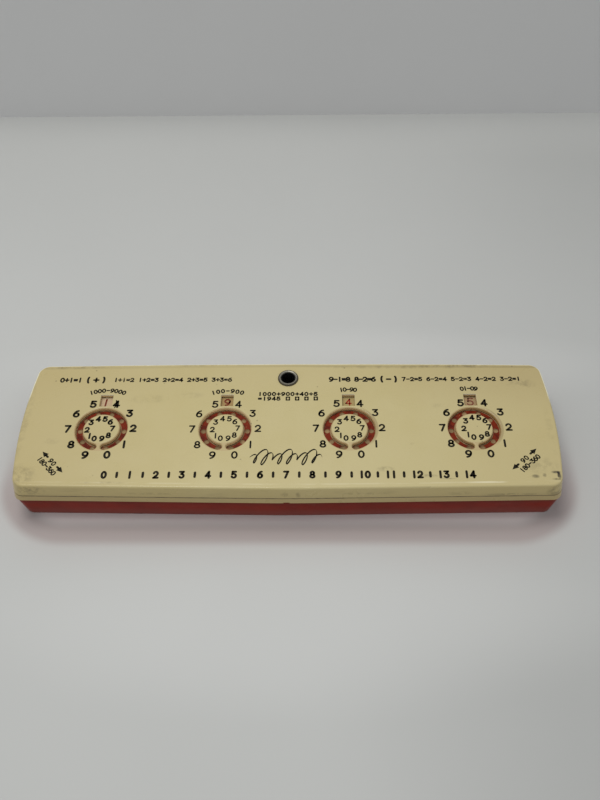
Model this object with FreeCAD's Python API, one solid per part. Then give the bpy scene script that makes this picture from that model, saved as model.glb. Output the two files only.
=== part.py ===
import FreeCAD, Part
import math
import os

# A four-dial pocket adder built into the swivelling lid of a pencil box.
# Millimetres. The origin is the middle of the underside, +X runs to the right along the
# length, +Y to the rear, where the eyelet is, and +Z up.

# Plan outline: the ends and the rear bow outwards, the front runs to a blunt point
end_bulge = 2.48
rear_bulge = 1.04
front_point = 1.55
nose_half = 9.0

# Tray, narrower at the foot
tray_height = 11.2
tray_wall = 1.6
tray_foot_length = 106.3
tray_foot_depth = 30.6
tray_rim_length = 107.45
tray_rim_depth = 31.55
tray_foot_corner = 4.0
tray_rim_corner = 2.6
tray_foot_round = 0.3
nib_x = 0.0
nib_width = 1.8
nib_height = 0.2

# Lid, flared towards its lower edge, in two shells cemented at a groove
lid_low = 11.5
lid_top = 20.1
lid_split = 14.16
lid_low_length = 107.94
lid_low_depth = 32.05
lid_top_length = 106.86
lid_top_depth = 30.98
lid_low_corner = 3.8
lid_top_corner = 5.0
lid_wall = 1.6
lid_top_round = 0.85
groove = 0.3
lip_thickness = 0.7
lip_rise = 1.0
lip_play = 0.05

# Dials
dial_y = -3.0
dial_x = {
    "units": 74.25,
    "tens": 24.75,
    "hundreds": -24.75,
    "thousands": -74.25,
}
slot_outer = 10.4
slot_inner = 7.35
bridge_width = 1.5
slot_edge_round = 0.55
window_edge_round = 0.15
window_width = 5.15
window_near = 11.35
window_far = 17.3

# Levels inside the lid
ceiling = 18.5
wheel_top = 18.1
wheel_low = 16.7
upper_level = 15.2
lower_level = 13.7
gear_thickness = 1.4
floor_top = 12.9

# Number wheel
wheel_radius = 17.5
dimple_ring = 8.81
dimple_sphere = 1.35
dimple_lift = 0.85
hub_radius = 5.0
hub_bore = 3.05
key_width = 1.4
key_reach = 6.2
boss_radius = 3.0
boss_top = 17.9
boss_collar = 4.2
pin_radius = 1.38
pin_socket = 1.42
play = 0.1

# Carry work: ten notches and one finger on each wheel
star_tip = 19.6
star_root = 15.9
notch_root_half = 1.6
notch_tip_half = 2.1
finger_tip = 19.5
finger_tip_half = 0.4
finger_root_half = 1.1
finger_disc = 12.0
finger_angle = {
    "units": 345.0,
    "tens": 21.0,
    "hundreds": 201.0,
    "thousands": 129.0,
}
star_on_upper = {
    "units": True,
    "tens": False,
    "hundreds": True,
    "thousands": False,
}

# Carry pinions, halfway between neighbouring wheels
pinion_x = {
    "tens": 49.5,
    "hundreds": 0.0,
    "thousands": -49.5,
}
pinion_tip = 8.5
pinion_arm_half = 0.5
pinion_hub = 3.2
pinion_bore = 1.65
post_radius = 1.6
post_collar = 2.8
post_top = 17.6
shell_boss = 3.0

# Detent springs
spring_thickness = 0.3
spring_height = 1.2
spring_line = 20.9
spring_nose = 17.5
spring_nose_half = 2.2
spring_half_length = 12.8
slot_post_length = 2.6
slot_post_depth = 3.0
slot_post_top = 17.0
slot_post_gap = 0.36

# Eyelet and its washers
eyelet_y = 22.8
eyelet_bore = 2.87
eyelet_barrel = 3.3
eyelet_flange = 4.24
eyelet_lip = 0.72
eyelet_round = 0.64
eyelet_play = 0.05
eyelet_foot = 0.25
eyelet_roll = 0.55
shell_sleeve = 5.4
tray_post = 6.5
rib_width = 3.0
counterbore_radius = 5.7
counterbore_depth = 1.3
washer_radius = 5.3
washer_thickness = 0.5
pivot_washer_radius = 6.4
pivot_washer_thickness = 0.28

UP = FreeCAD.Vector(0, 0, 1)


def point(x, y, z):
    return FreeCAD.Vector(x, y, z)


def cylinder(radius, low, high, x=0.0, y=0.0):
    return Part.makeCylinder(radius, high - low, point(x, y, low), UP)


def tube(outer, inner, low, high, x=0.0, y=0.0):
    return cylinder(outer, low, high, x, y).cut(cylinder(inner, low - 1, high + 1, x, y))


def box(x0, x1, y0, y1, z0, z1):
    return Part.makeBox(x1 - x0, y1 - y0, z1 - z0, point(x0, y0, z0))


def turned(shape, angle):
    copy = shape.copy()
    copy.rotate(point(0, 0, 0), UP, angle)
    return copy


def moved(shape, x, y, z):
    copy = shape.copy()
    copy.translate(point(x, y, z))
    return copy


def polygon(points, z):
    corners = [point(x, y, z) for x, y in points]
    return Part.Face(Part.makePolygon(corners + corners[:1]))


# How far the middle of the front stands from the X axis
def front_reach(half_depth):
    return half_depth - rear_bulge + front_point


def arc_points(cx, cy, radius, start, stop):
    angles = (start, (start + stop) / 2, stop)
    return [(cx + radius * math.cos(a), cy + radius * math.sin(a)) for a in angles]


# The rear right corner: a small arc tangent to the end's arc and to the rear's arc
def rear_corner(half_length, half_depth, corner, end_radius):
    rear_radius = (half_length**2 + rear_bulge**2) / (2 * rear_bulge)
    end_x = half_length - end_radius
    rear_y = half_depth - rear_radius
    to_end = end_radius - corner
    to_rear = rear_radius - corner
    span = math.hypot(end_x, rear_y)
    along = (to_end**2 - to_rear**2 + span**2) / (2 * span)
    across = math.sqrt(to_end**2 - along**2)
    ux = -end_x / span
    uy = rear_y / span
    cx = end_x + along * ux - across * uy
    cy = along * uy + across * ux
    return arc_points(cx, cy, corner, math.atan2(cy, cx - end_x), math.atan2(cy - rear_y, cx))


# The front right corner: a small arc tangent to the end's arc and to the straight front
def front_corner(half_length, half_depth, corner, end_radius):
    run = math.hypot(half_length, front_point)
    ux = half_length / run
    uy = front_point / run
    end_x = half_length - end_radius
    ax = -uy * corner
    ay = ux * corner - front_reach(half_depth)
    back = (ax - end_x) * ux + ay * uy
    away = (ax - end_x) ** 2 + ay**2
    along = math.sqrt(back**2 - away + (end_radius - corner) ** 2) - back
    cx = ax + along * ux
    cy = ay + along * uy
    return arc_points(cx, cy, corner, math.atan2(-ux, uy), math.atan2(cy, cx - end_x))


def mirrored(points):
    return [(-x, y) for x, y in reversed(points)]


def outline(half_length, half_depth, corner, z):
    end_radius = (half_depth**2 + end_bulge**2) / (2 * end_bulge)
    rear = rear_corner(half_length, half_depth, corner, end_radius)
    front = front_corner(half_length, half_depth, corner, end_radius)
    arcs = [
        front,
        [front[2], (half_length, 0.0), rear[0]],
        rear,
        [rear[2], (0.0, half_depth), (-rear[2][0], rear[2][1])],
    ]
    arcs += [mirrored(arc) for arc in (rear, arcs[1], front)]
    tip = -front_reach(half_depth)
    drop = front_point * nose_half / half_length
    arcs.append([(-nose_half, tip + drop), (0.0, tip + drop / 2), (nose_half, tip + drop)])
    edges = [Part.Arc(*[point(x, y, z) for x, y in arc]).toShape() for arc in arcs]
    for side in (-1, 1):
        start = point(side * nose_half, tip + drop, z)
        end = point(side * front[0][0], front[0][1], z)
        edges.append(Part.LineSegment(start, end).toShape())
    return Part.Wire(Part.__sortEdges__(edges))


def shell_of(sections):
    return Part.makeLoft([outline(*section) for section in sections], True, True)


def lid_section(z, inset):
    share = (z - lid_low) / (lid_top - lid_low)
    length = lid_low_length + (lid_top_length - lid_low_length) * share - inset
    depth = lid_low_depth + (lid_top_depth - lid_low_depth) * share - inset
    corner = lid_low_corner + (lid_top_corner - lid_low_corner) * share - inset
    return (length, depth, corner, z)


def tray_section(z, inset):
    share = z / tray_height
    length = tray_foot_length + (tray_rim_length - tray_foot_length) * share - inset
    depth = tray_foot_depth + (tray_rim_depth - tray_foot_depth) * share - inset
    corner = tray_foot_corner + (tray_rim_corner - tray_foot_corner) * share - inset
    return (length, depth, corner, z)


def edges_at(shape, z):
    def flat(edge):
        return abs(edge.BoundBox.ZMin - z) < 1e-4 and abs(edge.BoundBox.ZMax - z) < 1e-4

    return [edge for edge in shape.Edges if flat(edge)]


# The finger slot is a ring broken by a narrow bridge at the front, with rounded ends
def finger_slot(low, high):
    middle = (slot_outer + slot_inner) / 2
    cap = (slot_outer - slot_inner) / 2
    half = math.degrees(math.asin((bridge_width / 2 + cap) / middle))
    start = math.radians(half - 90)
    stop = math.radians(270 - half)
    top = math.radians(90)

    def at(radius, angle):
        return point(radius * math.cos(angle), radius * math.sin(angle), low)

    # the caps bulge from the slot's two ends towards the bridge
    turn = cap / middle
    edges = [
        Part.Arc(at(slot_outer, start), at(slot_outer, top), at(slot_outer, stop)).toShape(),
        Part.Arc(at(slot_outer, stop), at(middle, stop + turn), at(slot_inner, stop)).toShape(),
        Part.Arc(at(slot_inner, stop), at(slot_inner, top), at(slot_inner, start)).toShape(),
        Part.Arc(at(slot_inner, start), at(middle, start - turn), at(slot_outer, start)).toShape(),
    ]
    return Part.Face(Part.Wire(edges)).extrude(point(0, 0, high - low))


def lid_shell():
    sections = [
        lid_section(lid_split, groove),
        lid_section(lid_split + groove, 0.0),
        lid_section(lid_top, 0.0),
    ]
    outside = shell_of(sections)
    outside = outside.makeFillet(lid_top_round, edges_at(outside, lid_top))
    inside = shell_of([lid_section(lid_split - 0.5, lid_wall), lid_section(ceiling, lid_wall)])
    shape = outside.cut(inside)
    for name in dial_x:
        x = dial_x[name]
        slot = moved(finger_slot(ceiling - 1, lid_top + 1), x, dial_y, 0)
        window = box(
            x - window_width / 2,
            x + window_width / 2,
            dial_y + window_near,
            dial_y + window_far,
            ceiling - 1,
            lid_top + 1,
        )
        shape = shape.cut(slot).cut(window)
        shape = shape.fuse(cylinder(boss_collar, wheel_top + 0.05, ceiling + 0.2, x, dial_y))
        shape = shape.fuse(cylinder(pin_radius, lower_level + 0.5, ceiling, x, dial_y))
    for name in pinion_x:
        x = pinion_x[name]
        foot = star_level(name) + gear_thickness + play
        shape = shape.fuse(tube(shell_boss, pinion_bore, foot, ceiling + 0.01, x, dial_y))
    shape = shape.fuse(cylinder(shell_sleeve, floor_top + 0.02, ceiling + 0.01, 0, eyelet_y))
    bore = cylinder(eyelet_barrel + eyelet_play, floor_top - 1, lid_top + 1, 0, eyelet_y)
    shape = shape.cut(bore)
    return round_slots(shape)


# The edges of the slots and windows in the lid's face, softened
def round_slots(shape):
    slots = []
    windows = []
    for edge in edges_at(shape, lid_top):
        for name in dial_x:
            centre = point(dial_x[name], dial_y, lid_top)
            reach = max(v.Point.sub(centre).Length for v in edge.Vertexes)
            if reach < slot_outer + 0.5:
                slots.append(edge)
            elif reach < math.hypot(window_far, window_width / 2) + 0.1:
                windows.append(edge)
    return shape.makeFillet(slot_edge_round, slots).makeFillet(window_edge_round, windows)


def star_level(name):
    return upper_level if star_on_upper[name] else lower_level


def lid_plate():
    rim = shell_of([
        lid_section(lid_low, 0.0),
        lid_section(lid_split - groove, 0.0),
        lid_section(lid_split, groove),
    ])
    lip = shell_of([
        lid_section(floor_top, lid_wall + lip_play),
        lid_section(lid_split + lip_rise, lid_wall + lip_play),
    ])
    hollow = lid_wall + lip_play + lip_thickness
    inside = shell_of([lid_section(floor_top, hollow), lid_section(lid_split + lip_rise + 1, hollow)])
    shape = rim.fuse(lip).cut(inside)
    for name in dial_x:
        x = dial_x[name]
        boss = cylinder(boss_radius, floor_top - 0.2, boss_top, x, dial_y)
        collar = cylinder(boss_collar, floor_top - 0.2, lower_level - play, x, dial_y)
        socket = cylinder(pin_socket, lower_level + 0.2, boss_top + 1, x, dial_y)
        shape = shape.fuse(boss).fuse(collar).cut(socket)
        level = star_level(name)
        for side in (-1, 1):
            shape = shape.fuse(slot_post(x, side, level))
    for name in pinion_x:
        x = pinion_x[name]
        shape = shape.fuse(cylinder(post_radius, floor_top - 0.2, post_top, x, dial_y))
        collar_top = star_level(name) - play
        shape = shape.fuse(cylinder(post_collar, floor_top - 0.2, collar_top, x, dial_y))
    shape = shape.cut(cylinder(eyelet_barrel + eyelet_play, lid_low - 1, floor_top + 1, 0, eyelet_y))
    notch = box(
        nib_x - nib_width / 2 - 0.3,
        nib_x + nib_width / 2 + 0.3,
        -front_reach(lid_low_depth) - 1,
        -front_reach(lid_low_depth) + 1.7,
        lid_low - 1,
        lid_low + 0.4,
    )
    return shape.cut(notch)


# A post with a vertical slit that the end of a spring stands in
def slot_post(x, side, level):
    middle = x + side * spring_half_length
    y = dial_y + spring_line
    body = box(
        middle - slot_post_length / 2,
        middle + slot_post_length / 2,
        y - slot_post_depth / 2,
        y + slot_post_depth / 2,
        floor_top - 0.2,
        slot_post_top,
    )
    reach = middle - side * slot_post_length / 2
    slit = box(
        min(reach, middle) - 0.3,
        max(reach, middle) + 0.3,
        y - slot_post_gap / 2,
        y + slot_post_gap / 2,
        level,
        slot_post_top + 1,
    )
    return body.cut(slit)


def tray():
    outside = shell_of([tray_section(0.0, 0.0), tray_section(tray_height, 0.0)])
    outside = outside.makeFillet(tray_foot_round, edges_at(outside, 0.0))
    inside = shell_of([tray_section(tray_wall, tray_wall), tray_section(tray_height + 1, tray_wall)])
    shape = outside.cut(inside)
    shape = shape.fuse(cylinder(tray_post, tray_wall - 0.5, tray_height, 0, eyelet_y))
    rib_end = tray_foot_depth - tray_wall + 1.1
    rib = box(-rib_width / 2, rib_width / 2, eyelet_y, rib_end, tray_wall - 0.5, tray_height)
    shape = shape.fuse(rib)
    shape = shape.cut(cylinder(eyelet_barrel + 0.02, -1, tray_height + 1, 0, eyelet_y))
    shape = shape.cut(cylinder(counterbore_radius, -1, counterbore_depth, 0, eyelet_y))
    front = -front_reach(tray_rim_depth)
    nib = box(
        nib_x - nib_width / 2,
        nib_x + nib_width / 2,
        front + 0.15,
        front + 1.2,
        tray_height - 0.4,
        tray_height + nib_height,
    )
    return shape.fuse(nib)


def number_wheel(name):
    shape = cylinder(wheel_radius, wheel_low, wheel_top)
    shape = shape.fuse(cylinder(hub_radius, lower_level, wheel_low + 0.2))
    key = box(0.0, key_reach, -key_width / 2, key_width / 2, lower_level, wheel_low + 0.2)
    shape = shape.fuse(turned(key, finger_angle[name]))
    shape = shape.cut(cylinder(hub_bore, lower_level - 1, wheel_top + 1))
    for k in range(10):
        angle = math.radians(36 * k)
        centre = point(
            dimple_ring * math.cos(angle),
            dimple_ring * math.sin(angle),
            wheel_top + dimple_lift,
        )
        shape = shape.cut(Part.makeSphere(dimple_sphere, centre))
    return moved(shape, dial_x[name], dial_y, 0)


# A notched star and, on the other level, a plain disc with the single carry finger
def carry_gear(name):
    star_low = star_level(name)
    finger_low = upper_level + lower_level - star_low
    star = cylinder(star_tip, star_low, star_low + gear_thickness)
    notch = polygon(
        [
            (star_root, -notch_root_half),
            (star_root + 1.8, -notch_root_half),
            (star_tip + 0.6, -notch_tip_half),
            (star_tip + 0.6, notch_tip_half),
            (star_root + 1.8, notch_root_half),
            (star_root, notch_root_half),
        ],
        star_low - 0.5,
    ).extrude(point(0, 0, gear_thickness + 1))
    for k in range(10):
        star = star.cut(turned(notch, 18 + 36 * k))
    middle = cylinder(finger_disc, lower_level, upper_level + gear_thickness)
    end = finger_tip - finger_tip_half
    finger = polygon(
        [
            (finger_disc - 1, -finger_root_half),
            (end, -finger_tip_half),
            (end, finger_tip_half),
            (finger_disc - 1, finger_root_half),
        ],
        finger_low,
    ).extrude(point(0, 0, gear_thickness))
    tip = cylinder(finger_tip_half, finger_low, finger_low + gear_thickness, end, 0)
    finger = turned(finger.fuse(tip), finger_angle[name])
    shape = star.fuse(middle).fuse(finger).removeSplitter()
    shape = shape.cut(cylinder(hub_radius + 0.02, lower_level - 1, wheel_low + 1))
    keyway = box(
        0.0,
        key_reach + 0.05,
        -key_width / 2 - 0.03,
        key_width / 2 + 0.03,
        lower_level - 1,
        wheel_low + 1,
    )
    shape = shape.cut(turned(keyway, finger_angle[name]))
    return moved(shape, dial_x[name], dial_y, 0)


def carry_pinion(name):
    low = star_level(name)
    shape = cylinder(pinion_hub, low, low + gear_thickness)
    end = pinion_tip - pinion_arm_half
    for k in range(4):
        arm = box(0.0, end, -pinion_arm_half, pinion_arm_half, low, low + gear_thickness)
        tip = cylinder(pinion_arm_half, low, low + gear_thickness, end, 0)
        shape = shape.fuse(turned(arm.fuse(tip), 45 + 90 * k))
    shape = shape.cut(cylinder(pinion_bore, low - 1, low + gear_thickness + 1)).removeSplitter()
    return moved(shape, pinion_x[name], dial_y, 0)


# A flat strip with a V in the middle that drops into a notch of the star
def detent_spring(name):
    half = spring_thickness / 2
    drop = spring_line - spring_nose
    slant = math.hypot(spring_nose_half, drop)
    lift = half * slant / spring_nose_half
    shoulder = half * (slant - spring_nose_half) / drop
    far = spring_half_length
    upper = [
        (-far, spring_line + half),
        (-spring_nose_half + shoulder, spring_line + half),
        (0.0, spring_nose + lift),
        (spring_nose_half - shoulder, spring_line + half),
        (far, spring_line + half),
    ]
    lower = [
        (far, spring_line - half),
        (spring_nose_half + shoulder, spring_line - half),
        (0.0, spring_nose - lift),
        (-spring_nose_half - shoulder, spring_line - half),
        (-far, spring_line - half),
    ]
    low = star_level(name) + (gear_thickness - spring_height) / 2
    strip = polygon(upper + lower, low).extrude(point(0, 0, spring_height))
    return moved(strip, dial_x[name], dial_y, 0)


def eyelet():
    low = eyelet_foot
    under = lid_top + eyelet_play
    top = under + eyelet_lip
    seat = counterbore_depth - washer_thickness
    inner = eyelet_bore
    barrel = eyelet_barrel
    outer = eyelet_flange
    r = eyelet_round
    slack = r - r * math.sqrt(0.5)
    foot = inner + 0.3

    def at(radius, z):
        return point(radius, 0, z)

    steps = [
        (at(inner, low + 0.3), at(inner, top - r)),
        (at(inner, top - r), at(inner + slack, top - slack), at(inner + r, top)),
        (at(inner + r, top), at(outer - r, top)),
        (at(outer - r, top), at(outer - slack, top - slack), at(outer, top - r)),
        (at(outer, top - r), at(outer, under)),
        (at(outer, under), at(barrel, under)),
        (at(barrel, under), at(barrel, seat)),
        (at(barrel, seat), at(outer, seat)),
        (at(outer, seat), at(outer + 0.1, seat - eyelet_roll / 2), at(outer, low)),
        (at(outer, low), at(foot, low)),
        (at(foot, low), at(inner, low + 0.3)),
    ]
    edges = []
    for step in steps:
        if len(step) == 2:
            edges.append(Part.LineSegment(*step).toShape())
        else:
            edges.append(Part.Arc(*step).toShape())
    ring = Part.Face(Part.Wire(edges)).revolve(point(0, 0, 0), UP, 360)
    return moved(ring, 0, eyelet_y, 0)


def eyelet_washer():
    low = counterbore_depth - washer_thickness
    return tube(washer_radius, eyelet_barrel + 0.02, low, counterbore_depth, 0, eyelet_y)


def pivot_washer():
    high = tray_height + pivot_washer_thickness
    return tube(pivot_washer_radius, eyelet_barrel + 0.02, tray_height, high, 0, eyelet_y)


def write(name, shape):
    if len(shape.Solids) != 1 or not shape.isValid():
        raise ValueError(name + " is not one valid solid")
    shape.Solids[0].exportStep("parts/" + name + ".step")
    print(name, round(shape.Volume, 1))


os.makedirs("parts", exist_ok=True)
write("tray", tray())
write("lid_shell", lid_shell())
write("lid_plate", lid_plate())
write("eyelet", eyelet())
write("eyelet_washer", eyelet_washer())
write("pivot_washer", pivot_washer())
for place in dial_x:
    write("number_wheel_" + place, number_wheel(place))
    write("carry_gear_" + place, carry_gear(place))
    write("detent_spring_" + place, detent_spring(place))
for place in pinion_x:
    write("carry_pinion_" + place, carry_pinion(place))
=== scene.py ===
import math

import bpy
import numpy as np
from mathutils import Matrix


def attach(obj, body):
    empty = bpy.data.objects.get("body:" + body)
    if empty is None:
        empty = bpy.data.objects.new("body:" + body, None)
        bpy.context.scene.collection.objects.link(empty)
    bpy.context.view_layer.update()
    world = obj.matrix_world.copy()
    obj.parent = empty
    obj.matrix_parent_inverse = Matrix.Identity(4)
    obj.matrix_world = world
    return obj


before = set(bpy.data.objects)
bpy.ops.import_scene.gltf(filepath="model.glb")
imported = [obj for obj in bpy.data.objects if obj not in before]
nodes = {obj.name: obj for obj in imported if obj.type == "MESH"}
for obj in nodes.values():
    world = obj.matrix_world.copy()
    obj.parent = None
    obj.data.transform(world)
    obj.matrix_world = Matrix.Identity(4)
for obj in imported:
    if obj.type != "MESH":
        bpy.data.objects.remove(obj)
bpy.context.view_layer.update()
mm = 0.001
print("frame loaded,", len(nodes), "nodes")

scene = bpy.context.scene
scene.view_settings.view_transform = "Standard"

# Camera: level directions are worked out from pitch, then turned by yaw about Z and rolled
viewFrom = {
    "place": (10.55, -209.7, 299.2),
    "pitch": 0.9008,
    "yaw": 0.02508,
    "roll": 0.02248,
    "focalPixels": 872.9,
    "framePixels": 800,
    "sensor": 36.0,
}


def aimCamera():
    p, y, r = viewFrom["pitch"], viewFrom["yaw"], viewFrom["roll"]
    turn = np.array([[math.cos(y), -math.sin(y), 0], [math.sin(y), math.cos(y), 0], [0, 0, 1]])
    right = turn @ np.array([1.0, 0.0, 0.0])
    ahead = turn @ np.array([0.0, math.cos(p), -math.sin(p)])
    down = turn @ np.array([0.0, -math.sin(p), -math.cos(p)])
    across = math.cos(r) * right + math.sin(r) * down
    upward = math.sin(r) * right - math.cos(r) * down
    data = bpy.data.cameras.new("camera")
    data.sensor_width = viewFrom["sensor"]
    data.lens = viewFrom["focalPixels"] * viewFrom["sensor"] / viewFrom["framePixels"]
    data.clip_start = 0.01
    camera = bpy.data.objects.new("camera", data)
    scene.collection.objects.link(camera)
    axes = np.stack([across, upward, -ahead], axis=1)
    matrix = Matrix(axes.tolist()).to_4x4()
    matrix.translation = [value * mm for value in viewFrom["place"]]
    camera.matrix_world = matrix
    scene.camera = camera


aimCamera()
print("camera aimed")


# Shader maths as plain expressions: a Value is one socket of a material being made
class Value:
    def __init__(self, finish, socket):
        self.finish = finish
        self.socket = socket

    def maths(self, operation, first, second=0.0):
        return self.finish.node("ShaderNodeMath", {"operation": operation}, {0: first, 1: second})

    def __add__(self, other):
        return self.maths("ADD", self, other)

    def __radd__(self, other):
        return self.maths("ADD", other, self)

    def __sub__(self, other):
        return self.maths("SUBTRACT", self, other)

    def __rsub__(self, other):
        return self.maths("SUBTRACT", other, self)

    def __mul__(self, other):
        return self.maths("MULTIPLY", self, other)

    def __rmul__(self, other):
        return self.maths("MULTIPLY", other, self)

    def __truediv__(self, other):
        return self.maths("DIVIDE", self, other)

    def __pow__(self, other):
        return self.maths("POWER", self, other)

    def __mod__(self, other):
        return self.maths("FLOORED_MODULO", self, other)

    def __lt__(self, other):
        return self.maths("LESS_THAN", self, other)

    def __gt__(self, other):
        return self.maths("GREATER_THAN", self, other)

    def __abs__(self):
        return self.maths("ABSOLUTE", self)


class Finish:
    def __init__(self, name):
        self.material = bpy.data.materials.new(name)
        self.material.use_nodes = True
        self.tree = self.material.node_tree
        self.tree.nodes.clear()
        self.place = self.node("ShaderNodeTexCoord", out="Object")

    # kind of node, settings made first, then values or links of its sockets
    def node(self, kind, settings=None, inputs=None, out=0):
        made = self.tree.nodes.new(kind)
        for key, value in (settings or {}).items():
            setattr(made, key, value)
        for key, value in (inputs or {}).items():
            if isinstance(value, Value):
                self.tree.links.new(value.socket, made.inputs[key])
            else:
                made.inputs[key].default_value = value
        return Value(self, made.outputs[out]) if made.outputs else None

    # x, y and z in millimetres
    def axes(self):
        split = [self.node("ShaderNodeSeparateXYZ", inputs={0: self.place}, out=k) for k in range(3)]
        return [value * (1 / mm) for value in split]

    # noise from 0 to 1 with features about `size` millimetres across
    def noise(self, size, detail=2.0, rough=0.5, stretch=(1, 1, 1), shift=(0, 0, 0)):
        vector = self.node(
            "ShaderNodeMapping",
            inputs={0: self.place, "Scale": stretch, "Location": shift},
        )
        return self.node(
            "ShaderNodeTexNoise",
            inputs={"Vector": vector, "Scale": 1 / (size * mm), "Detail": detail, "Roughness": rough},
        )

    # 0 up to the first value, 1 from the second on, with a soft step between; either may be the larger
    def step(self, value, low, high):
        flip = low > high
        return self.node(
            "ShaderNodeMapRange",
            {"interpolation_type": "SMOOTHSTEP"},
            {0: value, 1: min(low, high), 2: max(low, high), 3: float(flip), 4: float(not flip)},
        )

    # a share of the second colour over the first
    def mix(self, share, first, second):
        first, second = [c if isinstance(c, Value) else (*c, 1.0) for c in (first, second)]
        return self.node("ShaderNodeMix", {"data_type": "RGBA"}, {0: share, 6: first, 7: second}, out=2)

    def clamp(self, value):
        return self.node("ShaderNodeClamp", inputs={0: value})

    # a soft round spot over two coordinates a and b, centre and radii in millimetres
    def spot(self, a, b, ca, cb, ra, rb):
        reach = ((a - ca) / ra) ** 2 + ((b - cb) / rb) ** 2
        return self.step(reach, 1.0, 0.0)

    def bump(self, height, distance, strength):
        inputs = {"Strength": strength, "Distance": distance, "Height": height}
        return self.node("ShaderNodeBump", inputs=inputs)

    def surface(self, colour, rough, normal=None, metallic=0.0, alpha=None, shine=0.5):
        inputs = {"Base Color": colour if isinstance(colour, Value) else (*colour, 1.0)}
        inputs["Roughness"] = rough
        inputs["Metallic"] = metallic
        inputs["Specular IOR Level"] = shine
        if normal is not None:
            inputs["Normal"] = normal
        if alpha is not None:
            inputs["Alpha"] = alpha
        shader = self.node("ShaderNodeBsdfPrincipled", inputs=inputs)
        self.node("ShaderNodeOutputMaterial", inputs={0: shader})
        return self.material


def dress(name, material):
    mesh = nodes[name].data
    mesh.materials.clear()
    mesh.materials.append(material)


# Where the dials stand, in millimetres, thousands to units
dials = {
    "thousands": -74.25,
    "hundreds": -24.75,
    "tens": 24.75,
    "units": 74.25,
}
dialRow = {
    "y": -3.0,
    "pitch": 49.5,
    "lidTop": 20.1,
    "wheelTop": 18.1,
    "slot": (6.6, 11.1),
    "windowHalf": 2.95,
    "windowY": (7.9, 14.9),
}

# Cream lid: aged glossy plastic, tan in its slots, dirty along its rims and at both front corners; light and
# shade are painted in its slots, on its front wall and along its front and rear edges.
# Places are in millimetres.
creamLook = {
    "cream": (0.470, 0.398, 0.192),
    "paler": (0.490, 0.420, 0.215),
    "yellowed": (0.410, 0.325, 0.150),
    "tan": (0.400, 0.270, 0.140),
    "recess": (0.780, 0.600, 0.320),
    "recessDeep": (0.400, 0.250, 0.085),
    "rearGlint": (0.800, 0.780, 0.620),
    "frontWallLight": (0.590, 0.455, 0.190),
    "deepTan": (0.220, 0.150, 0.065),
    "grime": (0.105, 0.080, 0.045),
    "black": (0.022, 0.018, 0.014),
    "glintPale": (0.72, 0.66, 0.47),
    "rough": 0.27,
    "shine": 0.35,
    "grooveZ": 14.2,
    # the rims' lines in plan: y in the middle, and its fall for each millimetre outwards
    "rearRim": (29.55, 0.0090),
    "frontRim": (29.55, 0.0135),
    # soft dirt seen from above: x, y, half widths, share
    "soiled": [
        (-96, 29.6, 26, 1.7, 0.55), (-40, 30.2, 30, 1.0, 0.30), (70, 29.6, 18, 1.2, 0.40),
        (96, 19.5, 7, 3.2, 0.35), (-105.5, 2, 2.2, 26, 0.20), (-103, -25, 8, 6, 0.34),
        (38, -22.5, 4.5, 1.5, 0.35), (-57, 12, 9, 3, 0.16), (-93, -9, 4, 2, 0.18),
        (53, -25.6, 6, 0.9, 0.45), (104, -6, 2.0, 16, 0.12), (48.9, -10.8, 1.0, 0.8, 0.8),
        (54, 28.9, 50, 1.2, 0.30), (-40, 14, 7, 2, 0.14), (62, 8, 6, 2, 0.14),
        (-71, -28.6, 12, 0.8, 0.25), (98, -21, 8, 5, 0.22),
    ],
    # dirt and knocks on the walls: x, z, half widths, share
    "streaked": [
        (-98, 17.5, 7, 3.4, 0.42), (-0.4, 16.6, 2.2, 1.6, 0.45), (4.5, 16.2, 1.2, 2.2, 0.45),
        (30, 16.8, 12, 0.8, 0.25), (-52, 16.5, 16, 0.9, 0.22), (86, 15.2, 14, 0.9, 0.45),
        (102, 16.5, 3.6, 3.6, 0.50), (66, 16.2, 6, 1.4, 0.22),
    ],
    # black smears: x, y, half widths, share
    "smeared": [
        (94.8, -25.9, 2.0, 1.1, 0.60), (98.3, -25.4, 1.0, 1.1, 0.50), (102.9, -24.0, 2.2, 0.75, 1.0),
        (103.8, -25.6, 0.9, 2.0, 1.2), (102.6, -27.2, 2.0, 0.6, 0.7), (61.5, -26.9, 3.5, 0.4, 0.5),
    ],
}


# all the spots of one list, laid over one another
def spotsOf(f, a, b, spots):
    total = 0.0
    for ca, cb, ra, rb, share in spots:
        total = f.spot(a, b, ca, cb, ra, rb) * share + total
    return total


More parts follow.
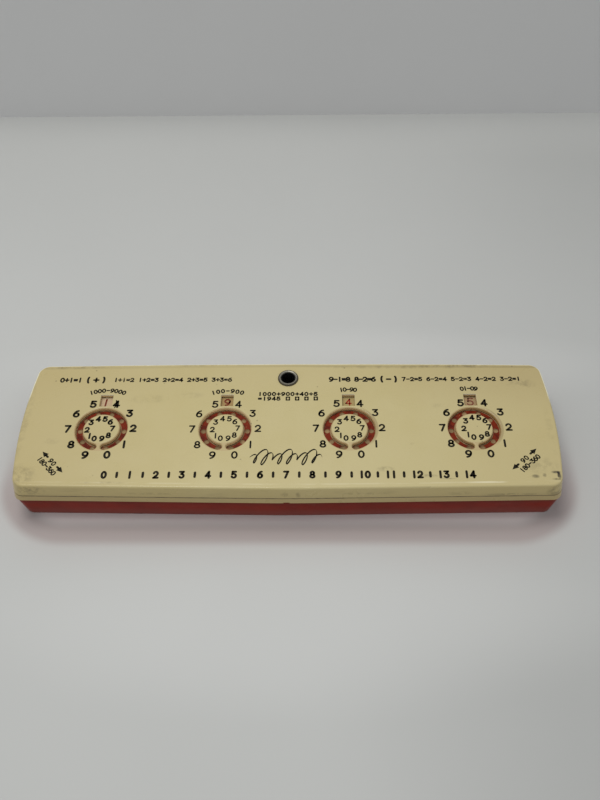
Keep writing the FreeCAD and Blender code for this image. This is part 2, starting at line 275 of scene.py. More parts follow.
def creamFinish(name, warm=0.0):
    look = creamLook
    dialY, pitch, lidTop = dialRow["y"], dialRow["pitch"], dialRow["lidTop"]
    f = Finish(name)
    x, y, z = f.axes()
    broad = f.noise(38, 3)
    patch = f.noise(9, 4, 0.6)
    fine = f.noise(1.2, 3, 0.6)
    grit = f.noise(2.0, 4, 0.7)
    colour = f.mix(f.step(broad, 0.35, 0.65), look["cream"], look["paler"])
    colour = f.mix(f.step(x, 30, 112) * 0.40, colour, look["yellowed"])
    colour = f.mix(f.step(x, -30, -112) * 0.55, colour, look["yellowed"])
    colour = f.mix(f.step(patch, 0.50, 0.75) * 0.16, colour, look["yellowed"])
    colour = f.mix(f.step(y, 4, 31) * 0.30, colour, look["yellowed"])
    colour = f.mix(f.step(x, 20, 100) * f.step(y, -2, 27) * 0.17, colour, look["deepTan"])
    # painted light: the front wall below its top edge is lightened and warmed, as if lit from the front
    colour = f.mix(f.step(y, -26, -29) * f.step(z, 19.9, 19.3) * 0.46, colour, look["frontWallLight"])
    if warm:
        colour = f.mix(warm, colour, look["tan"])
    # inside the slots and windows: grime where hands never wipe, and painted light that lifts their walls to
    # a pale tan
    local = (x + 2 * pitch) % pitch - pitch / 2
    reach = (local * local + (y - dialY) * (y - dialY)) ** 0.5
    near, far = dialRow["slot"]
    inSlot = (reach > near) * (reach < far)
    near, far = dialRow["windowY"]
    inWindow = (abs(local) < dialRow["windowHalf"]) * (y > near) * (y < far)
    below = f.step(z, lidTop - 0.10, lidTop - 0.50)
    recess = (inSlot + inWindow) * below
    # painted shade: the rounded edges and walls of each slot are tinted tan
    lipShade = f.step(reach, 6.75, 7.0) * f.step(reach, 11.0, 10.7)
    colour = f.mix(lipShade * 0.42, colour, look["tan"])
    # painted light: the slot and window walls are lifted to a pale tan, as if lit from all round
    colour = f.mix(recess * 0.85, colour, look["recess"])
    # the recesses are browner at all dials but the hundreds; on the right of the right two, painted shade
    # darkens them further
    browner = (x < -pitch) * 0.45 + (x > 0) * 0.35 + (x > pitch) * 0.35 + f.step(local, 2, 9) * (x > 0) * 0.30
    colour = f.mix(recess * browner, colour, look["recessDeep"])
    # and there painted shade lies as a brown crescent just outside the slot
    shadeCrescent = f.step(reach, 11.8, 11.3) * (reach > 10.5) * f.step(local, 3, 9) * (x > 0) * f.step(y, -12, -8)
    colour = f.mix(shadeCrescent * 0.50, colour, look["deepTan"])
    colour = f.mix(recess * f.step(grit, 0.55, 0.80) * 0.30, colour, look["grime"])
    # dirt by hand marks, along the rims and in the parting groove
    onTop = f.step(z, 18.6, 19.6)
    dirt = spotsOf(f, x, y, look["soiled"])
    wall = spotsOf(f, x, z, look["streaked"]) * f.step(y, -24, -27) * f.step(z, 19.9, 19.3)
    hazy = f.step(f.noise(3.2, 5, 0.7), 0.40, 0.64)
    wallHaze = f.step(z, 19.2, 17.5) * f.step(f.noise(7, 4, 0.6, (0.4, 1, 1.4)), 0.50, 0.78) * 0.17
    dirt = dirt * onTop * hazy + wall * f.step(grit, 0.38, 0.60) + wallHaze * (1 - recess)
    colour = f.mix(f.clamp(dirt), colour, look["grime"])
    smear = spotsOf(f, x, y, look["smeared"]) * (0.35 + f.step(grit, 0.35, 0.60) * 0.65) * onTop
    colour = f.mix(f.clamp(smear), colour, look["black"])
    # walls are a little darker and yellower down towards the rim
    sunk = f.step(z, 19.3, 14.5) * f.step(z, 20.0, 19.6) * (1 - recess)
    colour = f.mix(sunk * 0.16, colour, look["yellowed"])
    colour = f.mix(f.step(z, 16.5, 13.0) * (1 - recess) * 0.12, colour, look["deepTan"])
    dashes = f.step(f.noise(3, 3, 0.6, (0.5, 1, 1)), 0.48, 0.60)
    grooveLine = f.step(abs(z - look["grooveZ"]), 0.40, 0.12) * (0.70 + dashes * 0.28)
    colour = f.mix(grooveLine, colour, look["grime"])
    # the rear rim: a painted glint along its fillet, with a grey line of dirt just inside it
    rearRimGlint = f.step(z, 20.09, 20.02) * f.step(z, 19.2, 19.6) * f.step(y, 8, 16)
    colour = f.mix(rearRimGlint * 0.8, colour, look["rearGlint"])
    rimY, fall = look["rearRim"]
    rearLine = f.step(abs(y - rimY + abs(x) * fall), 0.80, 0.15) * onTop
    colour = f.mix(rearLine * (0.12 + f.step(x, -40, 30) * 0.14), colour, look["grime"])
    # a painted highlight: a thin broken line just behind the front edge, brightest to the right
    rimY, fall = look["frontRim"]
    fromRim = abs(y + rimY - abs(x) * fall)
    rubbedAndGlint = f.step(fromRim, 0.55, 0.15) * f.step(f.noise(4, 4, 0.7, (0.15, 1, 1)), 0.40, 0.56) * onTop
    rubbedAndGlint = rubbedAndGlint * (0.20 + f.spot(x, y, 79, -28.5, 12, 4) * 0.45)
    colour = f.mix(rubbedAndGlint, colour, look["glintPale"])
    # specks, scratches and a faint ripple
    cell = f.node("ShaderNodeTexVoronoi", {"feature": "F1"}, {"Vector": f.place, "Scale": 1 / (5.5 * mm)})
    pick = f.noise(7, 1, 0.5, shift=(0.3, 0.1, 0))
    speck = f.step(cell, 0.075, 0.045) * f.step(pick, 0.50, 0.60)
    colour = f.mix(speck * 0.5, colour, look["grime"])
    scratch = f.step(f.noise(1.1, 2, 0.5, (0.06, 1, 1)), 0.70, 0.78)
    height = f.noise(2.2, 2) * 0.6 + fine * 0.12 + scratch * 0.10
    rough = look["rough"] + f.step(patch, 0.35, 0.75) * 0.10 + scratch * 0.08 + recess * 0.25
    return f.surface(colour, rough, f.bump(height, 0.00006, 0.6), shine=look["shine"])


dress("lid_shell", creamFinish("agedCream"))
dress("lid_plate", creamFinish("agedCreamRim", 0.22))
print("cream lid dressed")

# Red tray
redLook = {
    "red": (0.230, 0.018, 0.008),
    "deep": (0.175, 0.014, 0.006),
    "rubbedAndGlint": (0.300, 0.060, 0.040),
    "footSheenAndDust": (0.215, 0.070, 0.055),
    "shade": (0.090, 0.012, 0.006),
    "dust": (0.30, 0.20, 0.16),
    "rough": 0.30,
}


def redFinish():
    look = redLook
    f = Finish("agedRed")
    x, y, z = f.axes()
    patch = f.noise(14, 4, 0.6)
    fine = f.noise(1.0, 3, 0.6)
    colour = f.mix(f.step(patch, 0.35, 0.7), look["red"], look["deep"])
    # painted reflection of the floor: the foot turns pinker towards the bottom, with patchy dust at its very
    # bottom
    foot = f.step(z, 7.0, 0.2) * 0.62 + f.step(z, 1.4, 0.2) * f.step(fine, 0.4, 0.7) * 0.2
    colour = f.mix(foot, colour, look["footSheenAndDust"])
    colour = f.mix(f.step(z, 7.0, 11.0) * 0.50, colour, look["shade"])
    dust = f.step(f.noise(5, 4, 0.7, (0.4, 0.4, 1)), 0.56, 0.80)
    colour = f.mix(dust * 0.18, colour, look["dust"])
    streak = f.step(f.noise(1.4, 3, 0.5, (0.07, 0.07, 1)), 0.64, 0.76)
    colour = f.mix(streak * 0.22, colour, look["rubbedAndGlint"])
    rough = look["rough"] + dust * 0.25 + streak * 0.12
    height = f.noise(2.6, 2) * 0.5 + fine * 0.15 + streak * 0.15
    return f.surface(colour, rough, f.bump(height, 0.00006, 0.6), shine=0.12)


dress("tray", redFinish())
print("red tray dressed")

# Number wheels: cream pink plastic with ten red pads printed between ten pits; each wheel's field,
# which carries the window figures, has aged its own way
wheelLook = {
    "plastic": (0.340, 0.225, 0.115),
    "fields": {
        "thousands": (0.500, 0.375, 0.240),
        "hundreds": (0.345, 0.235, 0.105),
        "tens": (0.365, 0.280, 0.125),
        "units": (0.345, 0.240, 0.130),
    },
    "pad": (0.175, 0.019, 0.005),
    "padDeep": (0.090, 0.010, 0.004),
    "padWorn": (0.25, 0.08, 0.035),
    "soil": (0.10, 0.07, 0.032),
    "pitStep": 36.0,
    "pitRing": 8.81,
    "pitClear": 1.0,
    "fieldFrom": (11.0, 11.8),
    "padReach": (7.75, 10.2),
}


def wheelFinish(name, dialX):
    look = wheelLook
    f = Finish("wheel_" + name)
    x, y, z = f.axes()
    localX, localY = x - dialX, y - dialRow["y"]
    reach = (localX * localX + localY * localY) ** 0.5
    angle = f.node("ShaderNodeMath", {"operation": "ARCTAN2"}, {0: localY, 1: localX}) * (180 / math.pi)
    # each pad runs from pit to pit, cut back round the pits
    halfStep = look["pitStep"] / 2
    offset = abs((angle + 360.0) % look["pitStep"] - halfStep)
    along = (halfStep - offset) * (math.pi / 180) * reach
    across = reach - look["pitRing"]
    fromPit = (along * along + across * across) ** 0.5
    ragged = f.noise(0.9, 2) * 0.5 - 0.25
    near, far = look["padReach"]
    onFace = z > dialRow["wheelTop"] - 0.2
    pad = f.step(fromPit + ragged, look["pitClear"] - 0.12, look["pitClear"] + 0.12) * onFace
    pad = pad * f.step(reach + ragged, far + 0.15, far - 0.15) * f.step(reach, near - 0.1, near + 0.1)
    worn = f.step(f.noise(1.3, 4, 0.7), 0.60, 0.74)
    colour = f.mix(f.step(reach, *look["fieldFrom"]), look["plastic"], look["fields"][name])
    soiled = f.step(f.noise(3, 3), 0.45, 0.75) * f.step(reach, 12, 11) * 0.22
    colour = f.mix(soiled, colour, look["soil"])
    murk = f.step(f.noise(4, 3), 0.40, 0.60) * f.step(reach, 11, 10)
    colour = f.mix(murk * 0.45, colour, look["soil"])
    redPrint = f.mix(f.step(f.noise(2.2, 3), 0.44, 0.62) * 0.9, look["pad"], look["padDeep"])
    redPrint = f.mix(worn * 0.8, redPrint, look["padWorn"])
    colour = f.mix(pad * (1 - worn * 0.35), colour, redPrint)
    rim = f.step(abs(fromPit - look["pitClear"]), 0.26, 0.05) * (1 - pad * 0.4) * (reach < 11)
    colour = f.mix(rim * 0.42, colour, look["soil"])
    # dirt gathered at both ends of the slot
    ends = f.spot(localX, localY, 0.0, -9.2, 3.4, 1.9)
    colour = f.mix(ends * 0.8, colour, look["plastic"])
    colour = f.mix(ends * f.step(f.noise(1.2, 4, 0.7), 0.42, 0.62) * 0.55, colour, look["soil"])
    rough = 0.45 + worn * 0.2
    return f.surface(colour, rough, f.bump(f.noise(0.8, 3), 0.00005, 0.5), shine=0.08)


for name, dialX in dials.items():
    dress("number_wheel_" + name, wheelFinish(name, dialX))
print("number wheels dressed")

# Hidden works and metal
worksLook = {
    "gear": (0.42, 0.35, 0.23),
    "gearDark": (0.30, 0.24, 0.15),
    "steel": (0.42, 0.42, 0.43),
    "blue": (0.20, 0.22, 0.27),
    "nickel": (0.215, 0.205, 0.170),
    "tarnish": (0.050, 0.040, 0.024),
    "fibre": (0.14, 0.06, 0.025),
    "fibrePale": (0.24, 0.12, 0.06),
    "bore": (0.006, 0.006, 0.007),
    "eyeletY": 22.8,
}


def gearFinish():
    f = Finish("mouldedGear")
    grain = f.noise(2.0, 4, 0.6)
    colour = f.mix(f.step(grain, 0.35, 0.7), worksLook["gear"], worksLook["gearDark"])
    return f.surface(colour, 0.5 + grain * 0.15, f.bump(grain, 0.00004, 0.5))


def springFinish():
    f = Finish("springStrip")
    rolled = f.noise(0.5, 3, 0.6, (0.05, 1, 1))
    colour = f.mix(f.step(rolled, 0.4, 0.7), worksLook["steel"], worksLook["blue"])
    return f.surface(colour, 0.28 + rolled * 0.2, f.bump(rolled, 0.00002, 0.4), 1.0)


def eyeletFinish():
    f = Finish("platedEyelet")
    x, y, z = f.axes()
    fromRow = y - worksLook["eyeletY"]
    reach = (x * x + fromRow * fromRow) ** 0.5
    spin = f.noise(0.35, 3, 0.6)
    colour = f.mix(f.step(spin, 0.4, 0.75) * 0.5, worksLook["nickel"], worksLook["tarnish"])
    rimDirt = f.step(reach + spin * 0.3, 3.62, 3.95)
    colour = f.mix(rimDirt * 0.86, colour, worksLook["tarnish"])
    # painted shade: the inside of the bore is darkened to near black
    inside = f.step(reach, 3.02, 2.9) * f.step(z, 20.75, 20.2)
    colour = f.mix(inside * 0.97, colour, worksLook["bore"])
    rough = 0.30 + spin * 0.14 + rimDirt * 0.25
    return f.surface(colour, rough, f.bump(spin, 0.00003, 0.5), 0.9 - inside * 0.8 - rimDirt * 0.35)


def fibreFinish():
    f = Finish("fibreWasher")
    felt = f.noise(0.6, 4, 0.7)
    colour = f.mix(f.step(felt, 0.35, 0.7), worksLook["fibre"], worksLook["fibrePale"])
    return f.surface(colour, 0.85, f.bump(felt, 0.00008, 0.8))


gear, spring, plated = gearFinish(), springFinish(), eyeletFinish()
for name in nodes:
    if name.startswith("carry_"):
        dress(name, gear)
    if name.startswith("detent_"):
        dress(name, spring)
for name in ("eyelet", "eyelet_washer"):
    dress(name, plated)
dress("pivot_washer", fibreFinish())
print("works and eyelet dressed")


# Stroke figures. Each figure stands in a box 0.66 wide and 1 high, as straight strokes given by
# two ends, and arcs given by centre, radii and two angles: x = cx + rx*cos, y = cy + ry*sin.
def line(x0, y0, x1, y1):
    return np.array([[x0, y0], [x1, y1]])


def arc(cx, cy, rx, ry, start, stop):
    turn = np.radians(np.linspace(start, stop, 8 + int(abs(stop - start) / 18)))
    return np.stack([cx + rx * np.cos(turn), cy + ry * np.sin(turn)], axis=1)


def joined(*parts):
    return np.concatenate(parts)


figures = {
    "0": [arc(0.33, 0.5, 0.33, 0.5, 90, 450)],
    "1": [line(0.33, 0, 0.33, 1)],
    "2": [joined(arc(0.32, 0.69, 0.31, 0.31, 165, -30), line(0.5, 0.42, 0.02, 0)), line(0, 0, 0.66, 0)],
    "3": [line(0.04, 1, 0.6, 1), line(0.6, 1, 0.27, 0.62), arc(0.30, 0.31, 0.34, 0.31, 98, -150)],
    "4": [line(0.5, 0, 0.5, 1), line(0.5, 1, 0, 0.28), line(0, 0.28, 0.7, 0.28)],
    "5": [line(0.6, 1, 0.12, 1), line(0.12, 1, 0.06, 0.55), arc(0.3, 0.32, 0.35, 0.32, 132, -150)],
    "6": [arc(0.62, 0.31, 0.62, 0.69, 97, 180), arc(0.33, 0.31, 0.33, 0.31, 0, 360)],
    "7": [line(0, 1, 0.62, 1), line(0.62, 1, 0.2, 0)],
    "8": [arc(0.33, 0.74, 0.26, 0.26, 0, 360), arc(0.33, 0.25, 0.33, 0.25, 90, 450)],
    "9": [arc(0.04, 0.69, 0.62, 0.69, -83, 0), arc(0.33, 0.69, 0.33, 0.31, 0, 360)],
    "+": [line(0, 0.5, 0.7, 0.5), line(0.35, 0.15, 0.35, 0.85)],
    "-": [line(0.06, 0.5, 0.6, 0.5)],
    "=": [line(0.04, 0.34, 0.62, 0.34), line(0.04, 0.66, 0.62, 0.66)],
    "(": [arc(0.62, 0.5, 0.34, 0.72, 130, 230)],
    ")": [arc(0.04, 0.5, 0.34, 0.72, 50, -50)],
    "#": [
        line(0, 0.04, 0, 0.96), line(0, 0.96, 0.7, 0.96),
        line(0.7, 0.96, 0.7, 0.04), line(0.7, 0.04, 0, 0.04),
    ],
}
figureWidth = 0.66


# A stroke is a low bar with sloped sides: at every point of the path four corners stand across
# it, two low at the full half width and two high at 0.82 of it. Its ends are half circles: past
# an end the half width is the circle's, sqrt(h squared - distance squared).
def strokeRings(path, half, low, high, taper=None):
    steps = np.hypot(*np.diff(path, axis=0).T)
    run = np.concatenate([[0], np.cumsum(steps)])
    length = run[-1]
    cap = half * np.array([1.0, 0.85, 0.5])
    if taper is None:
        s = np.concatenate([-cap, run, length + cap[::-1]])
        over = np.maximum(np.maximum(-s, s - length), 0) / half
        width = half * np.sqrt(np.maximum(1 - over**2, 0.01))
    else:
        s = run
        width = np.maximum(np.interp(run / length, *taper), 0.01)
    inside = np.clip(s, 0, length)
    spots = np.stack([np.interp(inside, run, path[:, k]) for k in range(2)], axis=1)
    first = (path[1] - path[0]) / steps[0]
    last = (path[-1] - path[-2]) / steps[-1]
    spots = spots + np.minimum(s, 0)[:, None] * first + np.maximum(s - length, 0)[:, None] * last
    along = np.gradient(spots, axis=0)
    along = along / np.maximum(np.hypot(*along.T), 1e-9)[:, None]
    side = np.stack([-along[:, 1], along[:, 0]], axis=1)
    across = np.array([-1.0, -0.82, 0.82, 1.0])
    plan = spots[:, None, :] + side[:, None, :] * (width[:, None] * across)[:, :, None]
    height = np.broadcast_to(np.array([low, high, high, low]), plan.shape[:2])
    return np.concatenate([plan, height[:, :, None]], axis=2)


# all strokes of one print as a single mesh: each ring of four corners is joined to the next by four
# faces, and the first and last rings are closed by one face each
def printMesh(name, strokes, low, high, material, body):
    points, quads, start = [], [], 0
    for stroke in strokes:
        rings = strokeRings(stroke["path"], stroke["half"], low, high, stroke.get("taper"))
        count = len(rings)
        index = start + np.arange(count * 4).reshape(count, 4)
        ahead, wrap = index[1:], np.roll(index, -1, axis=1)
        quads.append(np.stack([index[:-1], ahead, wrap[1:], wrap[:-1]], axis=2).reshape(-1, 4))
        quads.append(np.stack([index[0], index[-1][::-1]]))
        points.append(rings.reshape(-1, 3))
        start += count * 4
    points, quads = np.concatenate(points) * mm, np.concatenate(quads)
    mesh = bpy.data.meshes.new(name)
    mesh.vertices.add(len(points))
    mesh.vertices.foreach_set("co", points.astype(np.float32).ravel())
    mesh.loops.add(quads.size)
    mesh.loops.foreach_set("vertex_index", quads.astype(np.int32).ravel())
    mesh.polygons.add(len(quads))
    mesh.polygons.foreach_set("loop_start", np.arange(0, quads.size, 4, dtype=np.int32))
    mesh.update(calc_edges=True)
    mesh.validate()
    piece = bpy.data.objects.new(name, mesh)
    scene.collection.objects.link(piece)
    mesh.materials.append(material)
    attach(piece, body)


# one figure: spot + turned (box point - box centre) * height, and `wide` stretches it sideways
def figureStrokes(sign, x, y, tall, half, turn=0.0, wide=1.0):
    c, s = math.cos(math.radians(turn)), math.sin(math.radians(turn))
    rotate = np.array([[c, s], [-s, c]])
    centre = np.array([figureWidth / 2, 0.5])
    made = []
    for path in figures[sign]:
        spread = (path - centre) * np.array([tall * wide, tall])
        made.append({"path": spread @ rotate + np.array([x, y]), "half": half})
    return made


# a row of signs with their centres spread evenly from x0 to x1
def rowStrokes(text, x0, x1, y, tall, half, wide=1.0):
    spots = np.linspace(x0, x1, len(text))
    made = []
    for sign, x in zip(text, spots):
        if sign != " ":
            made += figureStrokes(sign, x, y, tall, half, 0.0, wide)
    return made


# text bent round a dial's axis: centre + radius*(cos, sin), the signs one step of arc apart
def archStrokes(text, cx, cy, radius, step, tall, half):
    made = []
    for k, sign in enumerate(text):
        turn = -(k - (len(text) - 1) / 2) * math.degrees(step / radius)
        angle = math.radians(90 + turn)
        if sign != " ":
            spot = (cx + radius * math.cos(angle), cy + radius * math.sin(angle))
            made += figureStrokes(sign, *spot, tall, half, turn)
    return made


# an arrow head is a stroke whose half width falls from its barb to nothing at the tip
def headStroke(x, y, turn, long, half):
    ahead = long * np.array([math.cos(math.radians(turn)), math.sin(math.radians(turn))])
    path = np.array([x, y]) + np.linspace(0, 1, 5)[:, None] * ahead
    return {"path": path, "half": half, "taper": ([0, 1], [half, 0.0])}


# Inks, worn thin in patches
inkLook = {
    "black": (0.012, 0.010, 0.006),
    "rubbedBlack": (0.070, 0.056, 0.032),
    "red": (0.290, 0.026, 0.012),
    "rubbedRed": (0.40, 0.14, 0.08),
    "brown": (0.150, 0.026, 0.014),
    "rubbedBrown": (0.28, 0.12, 0.07),
    "faded": (0.165, 0.052, 0.032),
    "rubbedFaded": (0.30, 0.15, 0.10),
    "lidPrintHigh": 0.022,
    "lidPrintLow": -0.03,
}


def inkFinish(name, full, rubbedAndGlint, wear):
    f = Finish(name)
    cloud = f.noise(7, 2, 0.5)
    grit = f.noise(0.55, 3, 0.65)
    thin = f.step(grit + cloud * wear, 0.56 + wear * 0.5, 0.74 + wear * 0.5)
    colour = f.mix(thin, full, rubbedAndGlint)
    alpha = 1 - f.step(grit + cloud * wear, 0.66 + wear * 0.5, 0.80 + wear * 0.5) * 0.7
    return f.surface(colour, 0.55 + grit * 0.1, f.bump(grit, 0.00002, 0.5), 0.0, alpha, 0.08)


blackInk = inkFinish("blackInk", inkLook["black"], inkLook["rubbedBlack"], 0.25)
wornInk = inkFinish("wornInk", inkLook["black"], inkLook["rubbedBlack"], 0.75)
redInk = inkFinish("redInk", inkLook["red"], inkLook["rubbedRed"], 0.4)
brownInk = inkFinish("brownInk", inkLook["brown"], inkLook["rubbedBrown"], 0.3)
fadedInk = inkFinish("fadedInk", inkLook["faded"], inkLook["rubbedFaded"], 0.5)
lidLow = dialRow["lidTop"] + inkLook["lidPrintLow"]
lidHigh = dialRow["lidTop"] + inkLook["lidPrintHigh"]

# Large figures outside each slot and small ones on its island: figure, angle, radius
ringFigures = {
    "outer": [
        ("0", 289, 13.56), ("1", 323, 13.1), ("2", 0, 13.1), ("3", 35, 13.1), ("4", 69, 13.1),
        ("5", 111, 13.1), ("6", 146, 13.1), ("7", 181, 13.1), ("8", 217, 13.1), ("9", 252, 13.56),
    ],
    "inner": [
        ("0", 252, 5.05), ("1", 225, 5.05), ("2", 186, 5.05), ("3", 141, 5.05), ("4", 105, 5.05),
        ("5", 73, 5.05), ("6", 42, 5.05), ("7", 1.5, 5.05), ("8", 320, 5.05), ("9", 287, 5.05),
    ],
    "outerTall": 2.9,
    "outerHalf": 0.47,
    "innerTall": 2.15,
    "innerHalf": 0.39,
    # how far each dial's print sits off its axis, large figures then small
    "offset": {
        "thousands": ((-0.3, 0.2), (-0.53, 0.0)),
        "hundreds": ((0.0, 0.0), (0.0, 0.0)),
        "tens": ((-0.15, 0.25), (0.1, 0.0)),
        "units": ((0.55, 0.4), (0.85, 0.3)),
    },
    "weight": {"thousands": 1.12, "hundreds": 0.86, "tens": 0.92, "units": 1.0},
    # a slipped second stroke over the thousands' 4
    "smudge": [(-70.1, 11.3), (-69.8, 9.5), (-70.3, 7.7)],
    "smudgeHalf": 0.3,
}


# each figure stands upright at the dial's centre + its offset + radius*(cos, sin) of its angle
def dialFigures():
    look = ringFigures
    outer, inner = [], []
    for name, dialX in dials.items():
        for made, key, (offX, offY) in zip((outer, inner), ("outer", "inner"), look["offset"][name]):
            tall, half = look[key + "Tall"], look[key + "Half"] * look["weight"][name]
            for sign, angle, radius in look[key]:
                x = dialX + offX + radius * math.cos(math.radians(angle))
                y = dialRow["y"] + offY + radius * math.sin(math.radians(angle))
                made += figureStrokes(sign, x, y, tall, half)
    outer.append({"path": np.array(look["smudge"]), "half": look["smudgeHalf"]})
    printMesh("dialFiguresOuter", outer, lidLow, lidHigh, blackInk, "lid")
    printMesh("dialFiguresInner", inner, lidLow, lidHigh, blackInk, "lid")


dialFigures()
print("dial figures printed")

# Ten red or brown figures on each wheel, the shown one under the window
windowFigures = {
    "shown": {"thousands": 1, "hundreds": 9, "tens": 4, "units": 5},
    "radius": 14.75,
    "tall": {"thousands": 3.3, "hundreds": 3.0, "tens": 3.0, "units": 3.4},
    "shift": {"thousands": -0.55, "hundreds": 0.0, "tens": 0.0, "units": 0.3},
    "half": {"thousands": 0.40, "hundreds": 0.43, "tens": 0.34, "units": 0.36},
    "ink": {"thousands": brownInk, "hundreds": brownInk, "tens": redInk, "units": fadedInk},
    "lean": {"thousands": -5.0, "hundreds": 0.0, "tens": 0.0, "units": 0.0},
    "low": -0.03,
    "high": 0.02,
}


# figures one pit step apart: wheel's centre + radius*(cos, sin), pushed sideways by the shift
def wheelFigures():
    look = windowFigures
    for name, dialX in dials.items():
        strokes = []
        for figure in range(10):
            turn = wheelLook["pitStep"] * (figure - look["shown"][name])
            angle = math.radians(90 + turn)
            shift = look["shift"][name]
            x = dialX + look["radius"] * math.cos(angle) + shift * math.sin(angle)
            y = dialRow["y"] + look["radius"] * math.sin(angle) - shift * math.cos(angle)
            turn += look["lean"][name]
            strokes += figureStrokes(str(figure), x, y, look["tall"][name], look["half"][name], turn)
        low, high = dialRow["wheelTop"] + look["low"], dialRow["wheelTop"] + look["high"]
        printMesh("wheelFigures_" + name, strokes, low, high, look["ink"][name], "wheel_" + name)


wheelFigures()
print("wheel figures printed")

# Legends: plain numbers and signs
legends = {
    # place ranges over the windows: text, dial, radius, step
    "places": [
        ("1000-9000", "thousands", 19.6, 1.72), ("100-900", "hundreds", 19.2, 2.0),
        ("10-90", "tens", 19.8, 1.42), ("01-09", "units", 20.2, 1.42),
    ],
    "placeTall": 1.75,
    "placeHalf": 0.33,
    # sums: text, first and last place, size against the plain ones
    "sumRows": [
        ("0+1=1", -94.2, -86.8, 1.15), ("(+)", -83.4, -76.8, 1.45),
        ("1+1=2 1+2=3 2+2=4 2+3=5 3+3=6", -71.8, -24.2, 1.0),
        ("9-1=8 8-2=6", 17.9, 35.4, 1.2), ("(-)", 38.8, 44.6, 1.45),
        ("7-2=5 6-2=4 5-2=3 4-2=2 3-2=1", 48.0, 95.3, 1.0),
    ],
    "sumY": 22.25,
    "sumTall": 1.75,
    "sumHalf": 0.33,
    "answerRows": [("1000+900+40+5", 14.5), ("=1945 # # # #", 12.1)],
    "answerReach": 11.4,
    "answerTall": 1.6,
    "answerHalf": 0.33,
    "answerWide": 1.1,
    # a centimetre scale with a bar at each half
    "rulerY": -25.0,
    "rulerPlaces": range(15),
    "rulerPitch": 10.0,
    "rulerSpread": 1.15,
    "rulerTall": 2.7,
    "rulerHalf": 0.52,
    "rulerWide": 0.85,
    "barReach": 0.9,
}


# arched rows over the windows, straight rows, and figures and bars at equal pitch along the front
def legendPrints():
    look = legends
    strokes = []
    for text, name, radius, step in look["places"]:
        tall, half = look["placeTall"], look["placeHalf"]
        strokes += archStrokes(text, dials[name], dialRow["y"], radius, step, tall, half)
    printMesh("placeLegends", strokes, lidLow, lidHigh, blackInk, "lid")
    strokes = []
    for text, first, last, size in look["sumRows"]:
        tall, half = look["sumTall"] * size, look["sumHalf"] * size
        strokes += rowStrokes(text, first, last, look["sumY"], tall, half)
    printMesh("sumRows", strokes, lidLow, lidHigh, wornInk, "lid")
    strokes = []
    side, tall, half = look["answerReach"], look["answerTall"], look["answerHalf"]
    for text, rowY in look["answerRows"]:
        strokes += rowStrokes(text, -side, side, rowY, tall, half, look["answerWide"])
    printMesh("answerRows", strokes, lidLow, lidHigh, wornInk, "lid")
    strokes = []
    y, tall, half = look["rulerY"], look["rulerTall"], look["rulerHalf"]
    places, pitch, bar = look["rulerPlaces"], look["rulerPitch"], look["barReach"]
    for place in places:
        x = pitch * (place - places[-1] / 2)
        signs = str(place)
        spread = look["rulerSpread"] * (len(signs) - 1)
        strokes += rowStrokes(signs, x - spread, x + spread, y, tall, half, look["rulerWide"])
        if place < places[-1]:
            middle = x + pitch / 2
            strokes.append({"path": line(middle, y - bar, middle, y + bar), "half": half * 1.1})
    printMesh("rulerRow", strokes, lidLow, lidHigh, blackInk, "lid")


legendPrints()
print("legends printed")

# Corner arrows with plain angles between them, and a pen flourish between the middle dials
marks = {
    # the left end of each arrow pair, its right end, and the way to the corner
    "corners": [
        ((-95.6, -14.1), (-86.1, -23.9), (-0.72, -0.69)),
        ((86.5, -22.8), (97.1, -13.1), (0.67, -0.74)),
    ],
    "headLong": 2.6,
    "headHalf": 1.3,
    "stubLong": 0.9,
    "stubHalf": 0.50,
    # text, pitch of its signs, and how far it lies from the arrows' line towards the corner
    "angles": [("90", 1.9, 0.1), ("180-360", 1.55, 2.75)],
    "angleTall": 1.75,
    "angleHalf": 0.30,
    "flourish": {
        "centre": (-0.3, -17.0),
        "reach": 13.6,
        "loops": 8.5,
        "wide": 1.45,
        "high": 3.8,
        "slant": 0.42,
    },
}


# pen path: a loop wave, x = run + wide*fade*sin(turns) + slant*y, y = high*fade*cos(turns), where
# fade swells three times between 0.3 and 1; the pen is broad on strokes that fall
def flourishStroke(centre, reach, loops, wide, high, slant):
    share = np.linspace(-1, 1, 420)
    turns = share * loops * math.pi
    fade = 0.65 + 0.35 * np.cos(share * math.pi * 3)
    spots = np.stack([share * reach + wide * fade * np.sin(turns), high * fade * np.cos(turns)], axis=1)
    spots[:, 0] += slant * spots[:, 1]
    slope = np.arctan2(*np.gradient(spots, axis=0).T[::-1])
    steps = np.hypot(*np.diff(spots, axis=0).T)
    run = np.concatenate([[0], np.cumsum(steps)])
    half = (0.12 + 0.24 * np.abs(np.sin(slope + math.pi / 3))) * np.minimum(1, (1.02 - np.abs(share)) * 12)
    return {"path": spots + np.array(centre), "half": half.max(), "taper": (run / run[-1], half)}


# each arrow is a head at its tip and a short stub behind it; signs step along the pair's own line
def markPrints():
    look = marks
    strokes = []
    for start, stop, outward in look["corners"]:
        a, b, outward = np.array(start), np.array(stop), np.array(outward)
        unit = (b - a) / np.hypot(*(b - a))
        turn = math.degrees(math.atan2(unit[1], unit[0]))
        long = look["headLong"]
        for tip, way in ((a, -1), (b, 1)):
            base = tip - way * unit * long
            strokes.append(headStroke(*base, turn + 90 * (1 - way), long, look["headHalf"]))
            stub = np.stack([base, base - way * unit * look["stubLong"]])
            strokes.append({"path": stub, "half": look["stubHalf"]})
        for text, pitch, down in look["angles"]:
            for k, sign in enumerate(text):
                spot = (a + b) / 2 + unit * pitch * (k - (len(text) - 1) / 2) + outward * down
                strokes += figureStrokes(sign, *spot, look["angleTall"], look["angleHalf"], turn)
    printMesh("cornerArrows", strokes, lidLow, lidHigh, blackInk, "lid")
    flourish = flourishStroke(**look["flourish"])
    printMesh("flourish", [flourish], lidLow, lidHigh, blackInk, "lid")


markPrints()
print("marks printed")

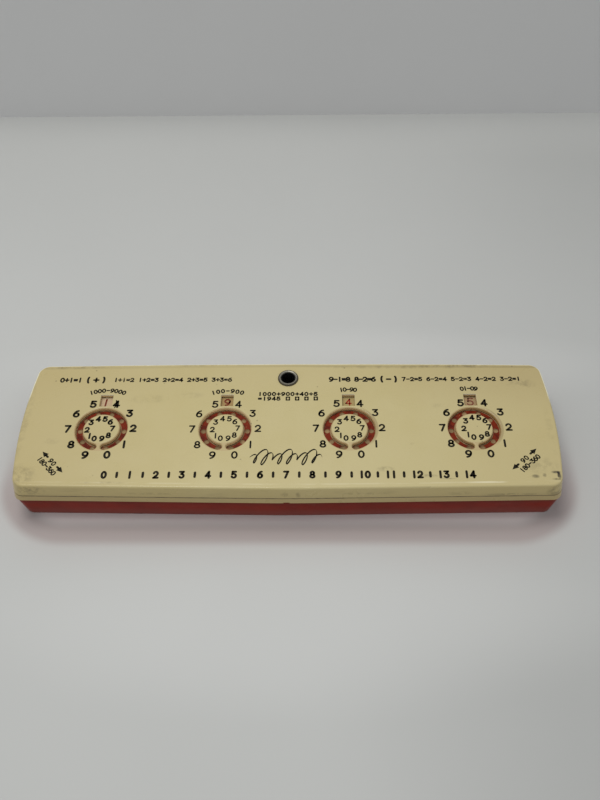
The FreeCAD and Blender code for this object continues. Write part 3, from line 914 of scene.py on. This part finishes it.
# Floor, low backdrop and lights
studio = {
    "floor": (0.475, 0.480, 0.470),
    "wall": (0.66, 0.66, 0.66),
    "rightShade": 0.13,
    "rearShade": 0.07,
    "blush": (0.50, 0.465, 0.455),
    "nearBlush": (0.68, 0.61, 0.60),
    "halfShade": (0.305, 0.238, 0.231),
    # the box's foot in plan: a rectangle's half sides, and the radius that rounds it
    "foot": (88, 15, 15.5),
    "reach": 3.0,
    "floorZ": -0.0001,
    "wallY": 0.242,
    "wallTop": 0.12,
    "world": 0.60,
    "worldColour": (0.97, 0.99, 1.0),
    "keyPlace": (-0.16, 0.16, 0.85),
    "keySize": (0.50, 0.30),
    "keyPower": 3.9,
    "keyColour": (1.0, 0.985, 0.95),
}


# paper: painted shade to the right, front right and rear, two painted pools of light in front of and just
# behind the box, and tinted and shaded along the foot of the box
def stageFinish(name, tone):
    f = Finish(name)
    x, y, z = f.axes()
    paper = f.noise(60, 3)
    colour = f.mix(f.step(paper, 0.2, 0.8), [c * 0.985 for c in tone], tone)
    colour = f.mix(f.step(x, 10, 190) * f.step(y, 245, 190) * studio["rightShade"], colour, (0, 0, 0))
    colour = f.mix(f.step(x, 0, 100) * f.step(y, -60, -105) * 0.11, colour, (0, 0, 0))
    colour = f.mix(f.step(y, 10, 170) * studio["rearShade"], colour, (0, 0, 0))
    # painted pools of light on the paper, in front of the box and just behind it
    colour = f.mix(f.spot(x, y, 0, -72, 130, 44) * 0.08, colour, (1, 1, 1))
    colour = f.mix(f.spot(x, y, 10, 46, 160, 28) * 0.09, colour, (1, 1, 1))
    # light thrown back from the red wall on to the paper round the box, and a soft band of shade
    halfX, halfY, corner = studio["foot"]
    pastX = f.node("ShaderNodeMath", {"operation": "MAXIMUM"}, {0: abs(x) - halfX, 1: 0.0})
    pastY = f.node("ShaderNodeMath", {"operation": "MAXIMUM"}, {0: abs(y) - halfY, 1: 0.0})
    outside = (pastX * pastX + pastY * pastY) ** 0.5 - corner
    infront = f.step(y, 12, -30)
    colour = f.mix(f.step(outside, 30, 0) * infront * 0.5, colour, studio["blush"])
    colour = f.mix(f.step(outside, 6, 0) * infront, colour, studio["nearBlush"])
    band = f.step(outside, 2, 7) * f.step(outside, 15.5, 10.5) * infront
    colour = f.mix(band * 0.6, colour, studio["halfShade"])
    return f.surface(colour, 0.75, shine=0.3)


# a flat sheet through four corners, not part of the piece
def stagePlane(name, corners, material):
    mesh = bpy.data.meshes.new(name)
    mesh.from_pydata(corners, [], [(0, 1, 2, 3)])
    mesh.materials.append(material)
    plane = bpy.data.objects.new(name, mesh)
    scene.collection.objects.link(plane)


def lightStudio():
    look = studio
    side, low, wallY, top = look["reach"], look["floorZ"], look["wallY"], look["wallTop"]
    foot = [(-side, wallY, low), (side, wallY, low)]
    paperFloor, paperWall = stageFinish("paperFloor", look["floor"]), stageFinish("paperWall", look["wall"])
    stagePlane("floor", [(-side, -side, low), (side, -side, low), *foot[::-1]], paperFloor)
    stagePlane("backdrop", [*foot, (side, wallY, top), (-side, wallY, top)], paperWall)
    world = bpy.data.worlds.new("studio")
    world.use_nodes = True
    sky = world.node_tree.nodes["Background"]
    sky.inputs[0].default_value = (*look["worldColour"], 1)
    sky.inputs[1].default_value = look["world"]
    scene.world = world
    data = bpy.data.lights.new("key", "AREA")
    data.shape = "RECTANGLE"
    data.size, data.size_y = look["keySize"]
    data.energy = look["keyPower"]
    data.color = look["keyColour"]
    key = bpy.data.objects.new("key", data)
    scene.collection.objects.link(key)
    key.location = look["keyPlace"]
    aim = -key.location
    key.rotation_euler = aim.to_track_quat("-Z", "Y").to_euler()


lightStudio()
print("studio lit")
